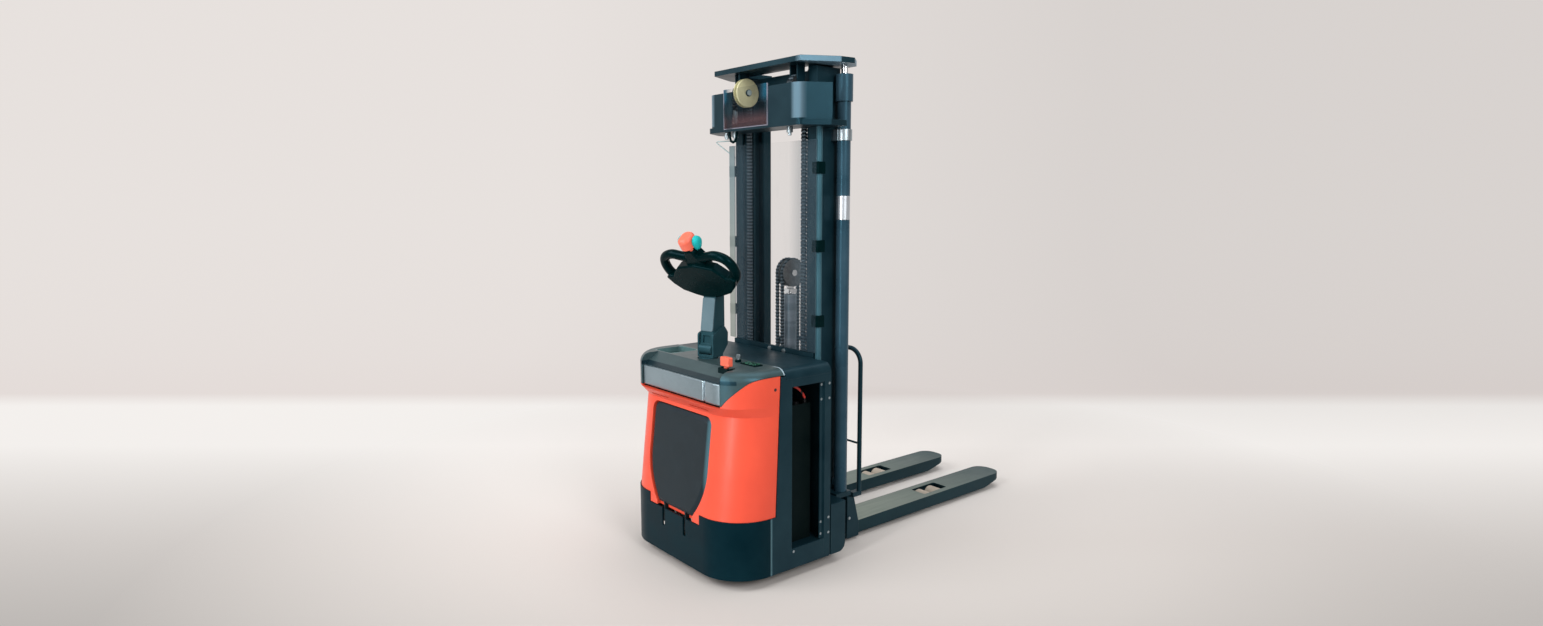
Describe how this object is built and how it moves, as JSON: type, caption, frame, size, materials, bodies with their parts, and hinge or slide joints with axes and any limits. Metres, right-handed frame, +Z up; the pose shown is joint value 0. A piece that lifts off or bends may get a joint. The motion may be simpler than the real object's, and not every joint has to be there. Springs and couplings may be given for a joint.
{
  "type": "electric stacker",
  "caption": "Walk-behind electric stacker: tiller-steered drive unit with a folding platform, telescoping mast with clear guard, and forks over base legs with load wheels.",
  "frame": {"origin": "centre of the footprint, on the floor", "axes": "+Z up, +Y from the operator's end towards the fork tips, +X to the right when facing the forks"},
  "size_m": [0.85, 2.05, 2.23],
  "materials": {
    "red_cover": "satin moulded shell",
    "slate_steel": "satin powder coat",
    "dark_plastic": "fine grained moulding",
    "silver": "brushed",
    "black_plastic": "fine grained moulding",
    "grey_metal": "satin paint",
    "red_plastic": "smooth",
    "turquoise": "smooth",
    "bright_steel": "machined",
    "chrome": "hard chrome",
    "dark_steel": "oiled",
    "cast": "machined casting",
    "clear": "clear sheet",
    "cream": "cast polymer",
    "black_rubber": "matt",
    "cells": "moulded cases"
  },
  "bodies": {
    "chassis": {"front_skirt": "slate_steel", "front_cover": "red_cover", "dashboard": "dark_plastic", "front_bar": "silver", "side_panels": "slate_steel", "panel_bolts": "bright_steel", "top_deck": "slate_steel", "chassis_plates": "slate_steel", "battery_case": "cells", "battery_caps": "red_plastic", "power_units": "grey_metal", "deck_fittings": "dark_steel", "platform_hinge": "dark_steel", "switch_bases": "black_plastic", "outer_mast": "slate_steel", "crosshead": "slate_steel", "clear_guards": "clear", "guard_clips": "black_plastic", "mast_fittings": "bright_steel", "lift_tubes": "slate_steel", "mast_pipe": "dark_steel", "base_legs": "slate_steel", "foot_brackets": "slate_steel"},
    "steering": {"drive_turret": "cast", "steering_column": "black_plastic"},
    "drive_wheel": {"drive_wheel": "cream"},
    "castor_right": {"castor_fork_right": "bright_steel"},
    "castor_left": {"castor_fork_left": "bright_steel"},
    "castor_wheel_right": {"castor_wheel_right": "cream"},
    "castor_wheel_left": {"castor_wheel_left": "cream"},
    "load_wheel_right_rear": {"load_wheel_right_rear": "cream"},
    "load_wheel_right_front": {"load_wheel_right_front": "cream"},
    "load_wheel_left_rear": {"load_wheel_left_rear": "cream"},
    "load_wheel_left_front": {"load_wheel_left_front": "cream"},
    "platform": {"platform": "black_rubber"},
    "tiller": {"tiller_column": "black_plastic", "tiller_cover": "grey_metal", "tiller_head": "black_plastic", "tiller_grips": "black_plastic"},
    "belly_button": {"belly_button": "red_plastic"},
    "thumb_wings": {"thumb_wings": "turquoise"},
    "lift_rocker": {"lift_rocker": "turquoise"},
    "horn_button": {"horn_button": "turquoise"},
    "emergency_knob": {"emergency_knob": "red_plastic"},
    "key": {"key": "bright_steel"},
    "middle_mast": {"middle_mast": "slate_steel", "lift_rods": "chrome", "mast_chains": "dark_steel"},
    "inner_mast": {"inner_mast": "slate_steel"},
    "carriage": {"carriage_frame": "slate_steel", "backrest": "slate_steel", "forks": "slate_steel"},
    "free_lift": {"free_rod": "chrome", "carriage_chain": "dark_steel"},
    "chain_pulleys": {"chain_pulleys": "dark_steel"},
    "hose_pulley": {"hose_pulley": "cream"},
    "middle_rollers": {"middle_rollers": "dark_steel"},
    "inner_rollers": {"inner_rollers": "dark_steel"},
    "carriage_rollers": {"carriage_rollers": "dark_steel"},
    "free_pulley": {"free_pulley": "dark_steel"}
  },
  "joints": [
    {"name": "steer", "type": "hinge", "parent": "chassis", "child": "steering", "pos_m": [0, -0.831, 0.3], "axis": [0, 0, 1], "range_deg": [-105, 75]},
    {"name": "drive_roll", "type": "hinge", "parent": "steering", "child": "drive_wheel", "pos_m": [0, -0.831, 0.115], "axis": [0.9659, 0.2588, 0], "continuous": true},
    {"name": "castor_right_swivel", "type": "hinge", "parent": "chassis", "child": "castor_right", "pos_m": [0.3, -0.84, 0.27], "axis": [0, 0, 1], "continuous": true},
    {"name": "castor_left_swivel", "type": "hinge", "parent": "chassis", "child": "castor_left", "pos_m": [-0.3, -0.84, 0.27], "axis": [0, 0, 1], "continuous": true},
    {"name": "castor_right_roll", "type": "hinge", "parent": "castor_right", "child": "castor_wheel_right", "pos_m": [0.3, -0.8, 0.062], "axis": [1, 0, 0], "continuous": true},
    {"name": "castor_left_roll", "type": "hinge", "parent": "castor_left", "child": "castor_wheel_left", "pos_m": [-0.3, -0.8, 0.062], "axis": [1, 0, 0], "continuous": true},
    {"name": "load_right_rear_roll", "type": "hinge", "parent": "chassis", "child": "load_wheel_right_rear", "pos_m": [0.2, 0.434, 0.04], "axis": [1, 0, 0], "continuous": true},
    {"name": "load_right_front_roll", "type": "hinge", "parent": "chassis", "child": "load_wheel_right_front", "pos_m": [0.2, 0.524, 0.04], "axis": [1, 0, 0], "continuous": true},
    {"name": "load_left_rear_roll", "type": "hinge", "parent": "chassis", "child": "load_wheel_left_rear", "pos_m": [-0.2, 0.434, 0.04], "axis": [1, 0, 0], "continuous": true},
    {"name": "load_left_front_roll", "type": "hinge", "parent": "chassis", "child": "load_wheel_left_front", "pos_m": [-0.2, 0.524, 0.04], "axis": [1, 0, 0], "continuous": true},
    {"name": "platform_fold", "type": "hinge", "parent": "chassis", "child": "platform", "pos_m": [0, -1.003, 0.205], "axis": [1, 0, 0], "range_deg": [0, 90]},
    {"name": "tiller_tilt", "type": "hinge", "parent": "steering", "child": "tiller", "pos_m": [0, -0.831, 0.968], "axis": [0.9659, 0.2588, 0], "range_deg": [0, 78], "stiffness_Nm_per_rad": 16, "springref_deg": -57.3},
    {"name": "belly_press", "type": "slide", "parent": "tiller", "child": "belly_button", "axis": [-0.1611, 0.6013, -0.7826], "range_m": [0, 0.008], "stiffness_N_per_m": 900, "springref_m": -0.004},
    {"name": "wing_turn", "type": "hinge", "parent": "tiller", "child": "thumb_wings", "pos_m": [0.02598, -0.92796, 1.41673], "axis": [0.9659, 0.2588, 0], "range_deg": [-25, 25], "stiffness_Nm_per_rad": 1.2},
    {"name": "rocker_tip", "type": "hinge", "parent": "tiller", "child": "lift_rocker", "pos_m": [0.0073, -0.85824, 1.36937], "axis": [0.9659, 0.2588, 0], "range_deg": [-6, 6], "stiffness_Nm_per_rad": 1},
    {"name": "horn_press", "type": "slide", "parent": "tiller", "child": "horn_button", "axis": [0.2026, -0.7559, -0.6225], "range_m": [0, 0.004], "stiffness_N_per_m": 600, "springref_m": -0.003},
    {"name": "stop_press", "type": "slide", "parent": "chassis", "child": "emergency_knob", "axis": [0, 0, -1], "range_m": [0, 0.005], "stiffness_N_per_m": 1200, "springref_m": -0.004},
    {"name": "key_turn", "type": "hinge", "parent": "chassis", "child": "key", "pos_m": [0.17, -0.79, 0.94], "axis": [0, 0, 1], "range_deg": [0, 90]},
    {"name": "mast_lift", "type": "slide", "parent": "chassis", "child": "middle_mast", "axis": [0, 0, 1], "range_m": [0, 1.5], "deforming": ["mast_chains"]},
    {"name": "inner_lift", "type": "slide", "parent": "middle_mast", "child": "inner_mast", "axis": [0, 0, 1], "range_m": [0, 1.5]},
    {"name": "carriage_lift", "type": "slide", "parent": "inner_mast", "child": "carriage", "axis": [0, 0, 1], "range_m": [0, 1.44], "deforming": ["carriage_chain"]},
    {"name": "free_lift_rise", "type": "slide", "parent": "inner_mast", "child": "free_lift", "axis": [0, 0, 1], "range_m": [0, 0.72]},
    {"name": "chain_pulley_turn", "type": "hinge", "parent": "middle_mast", "child": "chain_pulleys", "pos_m": [0, -0.4775, 2.12], "axis": [1, 0, 0], "range_deg": [0, 2030]},
    {"name": "hose_pulley_turn", "type": "hinge", "parent": "middle_mast", "child": "hose_pulley", "pos_m": [-0.13, -0.506, 2.117], "axis": [1, 0, 0], "range_deg": [0, 1390]},
    {"name": "middle_roller_turn", "type": "hinge", "parent": "middle_mast", "child": "middle_rollers", "pos_m": [0, -0.376, 0.16], "axis": [1, 0, 0], "range_deg": [0, 1520]},
    {"name": "inner_roller_turn", "type": "hinge", "parent": "inner_mast", "child": "inner_rollers", "pos_m": [0, -0.376, 0.17], "axis": [1, 0, 0], "range_deg": [0, 2120]},
    {"name": "carriage_roller_turn", "type": "hinge", "parent": "carriage", "child": "carriage_rollers", "pos_m": [0, -0.376, 0.205], "axis": [1, 0, 0], "range_deg": [0, 3100]},
    {"name": "free_pulley_turn", "type": "hinge", "parent": "free_lift", "child": "free_pulley", "pos_m": [0, -0.345, 1.283], "axis": [1, 0, 0], "range_deg": [0, 650]}
  ],
  "couplings": [
    {"joint": "inner_lift", "follows": "mast_lift", "ratio": 1},
    {"joint": "chain_pulley_turn", "follows": "mast_lift", "rad_per_m": 23.529},
    {"joint": "hose_pulley_turn", "follows": "mast_lift", "rad_per_m": 16.129},
    {"joint": "middle_roller_turn", "follows": "mast_lift", "rad_per_m": 17.637},
    {"joint": "inner_roller_turn", "follows": "mast_lift", "rad_per_m": 24.57},
    {"joint": "free_lift_rise", "follows": "carriage_lift", "ratio": 0.5},
    {"joint": "carriage_roller_turn", "follows": "carriage_lift", "rad_per_m": 37.453},
    {"joint": "free_pulley_turn", "follows": "carriage_lift", "rad_per_m": 7.8125}
  ]
}
